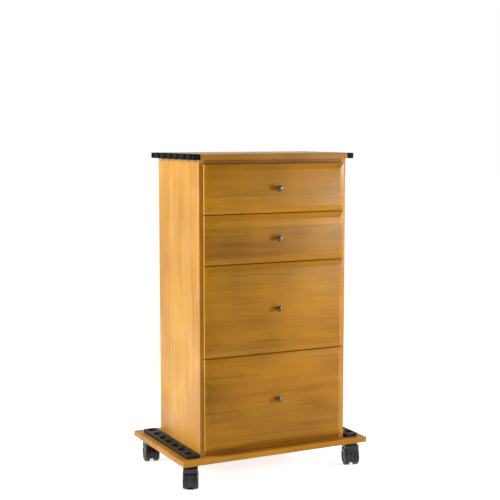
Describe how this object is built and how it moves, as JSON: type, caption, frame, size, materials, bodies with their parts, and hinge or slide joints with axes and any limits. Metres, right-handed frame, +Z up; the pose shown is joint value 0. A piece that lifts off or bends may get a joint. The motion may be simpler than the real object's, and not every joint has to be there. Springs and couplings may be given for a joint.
{
  "type": "fishing tackle cabinet",
  "caption": "Wooden drawer cabinet on a wide base board with swivel casters, notched rod grips along the top sides and butt sockets below them.",
  "frame": {"origin": "on the floor, under the middle of the outline", "axes": "-Y is the front with the drawers, +X is to the right seen from the front, +Z is up"},
  "size_m": [0.716, 0.465, 1.12],
  "materials": {
    "pine_boards": "satin honey stain",
    "pine_sides": "satin honey stain",
    "pine_fronts": "satin honey stain",
    "pine_rails": "satin honey stain",
    "plywood": "raw",
    "drawer_wood": "clear lacquer",
    "beech": "raw",
    "antique_brass": "antique",
    "zinc_steel": "zinc plated",
    "slide_steel": "zinc plated",
    "grip_foam": "matt foam",
    "pad_rubber": "satin",
    "wheel_nylon": "satin",
    "caster_plastic": "satin"
  },
  "bodies": {
    "cabinet": {"base_board": "pine_boards", "top_board": "pine_boards", "side_panel_left": "pine_sides", "side_panel_right": "pine_sides", "back_panel": "plywood", "bottom_panel": "pine_rails", "top_rails": "pine_rails", "divider_rails": "pine_rails", "rail_dowels": "beech", "case_screws": "zinc_steel", "slide_rails_left": "slide_steel", "slide_rails_right": "slide_steel", "rod_grip_left": "grip_foam", "rod_grip_right": "grip_foam", "butt_pad_left": "pad_rubber", "butt_pad_right": "pad_rubber", "caster_plates": "zinc_steel", "caster_screws": "zinc_steel"},
    "drawer_1": {"drawer_1_front": "pine_fronts", "drawer_1_box": "drawer_wood", "drawer_1_bottom": "plywood", "drawer_1_knob": "antique_brass", "drawer_1_knob_screw": "zinc_steel", "drawer_1_runners": "slide_steel"},
    "drawer_2": {"drawer_2_front": "pine_fronts", "drawer_2_box": "drawer_wood", "drawer_2_bottom": "plywood", "drawer_2_knob": "antique_brass", "drawer_2_knob_screw": "zinc_steel", "drawer_2_runners": "slide_steel"},
    "drawer_3": {"drawer_3_front": "pine_fronts", "drawer_3_box": "drawer_wood", "drawer_3_bottom": "plywood", "drawer_3_knob": "antique_brass", "drawer_3_knob_screw": "zinc_steel", "drawer_3_runners": "slide_steel"},
    "drawer_4": {"drawer_4_front": "pine_fronts", "drawer_4_box": "drawer_wood", "drawer_4_bottom": "plywood", "drawer_4_knob": "antique_brass", "drawer_4_knob_screw": "zinc_steel", "drawer_4_runners": "slide_steel"},
    "caster_front_left": {"caster_front_left_hood": "caster_plastic", "caster_front_left_axle": "zinc_steel"},
    "caster_front_left_wheel_left": {"caster_front_left_wheel_left": "wheel_nylon"},
    "caster_front_left_wheel_right": {"caster_front_left_wheel_right": "wheel_nylon"},
    "caster_front_left_brake": {"caster_front_left_brake": "caster_plastic"},
    "caster_back_left": {"caster_back_left_hood": "caster_plastic", "caster_back_left_axle": "zinc_steel"},
    "caster_back_left_wheel_left": {"caster_back_left_wheel_left": "wheel_nylon"},
    "caster_back_left_wheel_right": {"caster_back_left_wheel_right": "wheel_nylon"},
    "caster_front_right": {"caster_front_right_hood": "caster_plastic", "caster_front_right_axle": "zinc_steel"},
    "caster_front_right_wheel_left": {"caster_front_right_wheel_left": "wheel_nylon"},
    "caster_front_right_wheel_right": {"caster_front_right_wheel_right": "wheel_nylon"},
    "caster_back_right": {"caster_back_right_hood": "caster_plastic", "caster_back_right_axle": "zinc_steel"},
    "caster_back_right_wheel_left": {"caster_back_right_wheel_left": "wheel_nylon"},
    "caster_back_right_wheel_right": {"caster_back_right_wheel_right": "wheel_nylon"},
    "caster_back_right_brake": {"caster_back_right_brake": "caster_plastic"}
  },
  "joints": [
    {"name": "drawer_1_slide", "type": "slide", "parent": "cabinet", "child": "drawer_1", "axis": [0, -1, 0], "range_m": [0, 0.26]},
    {"name": "drawer_2_slide", "type": "slide", "parent": "cabinet", "child": "drawer_2", "axis": [0, -1, 0], "range_m": [0, 0.26]},
    {"name": "drawer_3_slide", "type": "slide", "parent": "cabinet", "child": "drawer_3", "axis": [0, -1, 0], "range_m": [0, 0.26]},
    {"name": "drawer_4_slide", "type": "slide", "parent": "cabinet", "child": "drawer_4", "axis": [0, -1, 0], "range_m": [0, 0.26]},
    {"name": "caster_front_left_swivel", "type": "hinge", "parent": "cabinet", "child": "caster_front_left", "pos_m": [-0.313, -0.1785, 0.084], "axis": [0, 0, 1], "continuous": true},
    {"name": "caster_front_left_left_roll", "type": "hinge", "parent": "caster_front_left", "child": "caster_front_left_wheel_left", "pos_m": [-0.31976, -0.193, 0.0315], "axis": [0.9063, -0.4226, 0], "continuous": true},
    {"name": "caster_front_left_right_roll", "type": "hinge", "parent": "caster_front_left", "child": "caster_front_left_wheel_right", "pos_m": [-0.31976, -0.193, 0.0315], "axis": [0.9063, -0.4226, 0], "continuous": true},
    {"name": "caster_front_left_brake_tilt", "type": "hinge", "parent": "caster_front_left", "child": "caster_front_left_brake", "pos_m": [-0.3271, -0.20873, 0.05218], "axis": [0.9063, -0.4226, 0], "range_deg": [-20, 0]},
    {"name": "caster_back_left_swivel", "type": "hinge", "parent": "cabinet", "child": "caster_back_left", "pos_m": [-0.313, 0.1875, 0.084], "axis": [0, 0, 1], "continuous": true},
    {"name": "caster_back_left_left_roll", "type": "hinge", "parent": "caster_back_left", "child": "caster_back_left_wheel_left", "pos_m": [-0.31578, 0.17174, 0.0315], "axis": [0.9848, -0.1736, 0], "continuous": true},
    {"name": "caster_back_left_right_roll", "type": "hinge", "parent": "caster_back_left", "child": "caster_back_left_wheel_right", "pos_m": [-0.31578, 0.17174, 0.0315], "axis": [0.9848, -0.1736, 0], "continuous": true},
    {"name": "caster_front_right_swivel", "type": "hinge", "parent": "cabinet", "child": "caster_front_right", "pos_m": [0.313, -0.1785, 0.084], "axis": [0, 0, 1], "continuous": true},
    {"name": "caster_front_right_left_roll", "type": "hinge", "parent": "caster_front_right", "child": "caster_front_right_wheel_left", "pos_m": [0.30859, -0.19388, 0.0315], "axis": [0.9613, -0.2756, 0], "continuous": true},
    {"name": "caster_front_right_right_roll", "type": "hinge", "parent": "caster_front_right", "child": "caster_front_right_wheel_right", "pos_m": [0.30859, -0.19388, 0.0315], "axis": [0.9613, -0.2756, 0], "continuous": true},
    {"name": "caster_back_right_swivel", "type": "hinge", "parent": "cabinet", "child": "caster_back_right", "pos_m": [0.313, 0.1875, 0.084], "axis": [0, 0, 1], "continuous": true},
    {"name": "caster_back_right_left_roll", "type": "hinge", "parent": "caster_back_right", "child": "caster_back_right_wheel_left", "pos_m": [0.305, 0.17364, 0.0315], "axis": [0.866, -0.5, 0], "continuous": true},
    {"name": "caster_back_right_right_roll", "type": "hinge", "parent": "caster_back_right", "child": "caster_back_right_wheel_right", "pos_m": [0.305, 0.17364, 0.0315], "axis": [0.866, -0.5, 0], "continuous": true},
    {"name": "caster_back_right_brake_tilt", "type": "hinge", "parent": "caster_back_right", "child": "caster_back_right_brake", "pos_m": [0.29632, 0.15861, 0.05218], "axis": [0.866, -0.5, 0], "range_deg": [-20, 0]}
  ]
}
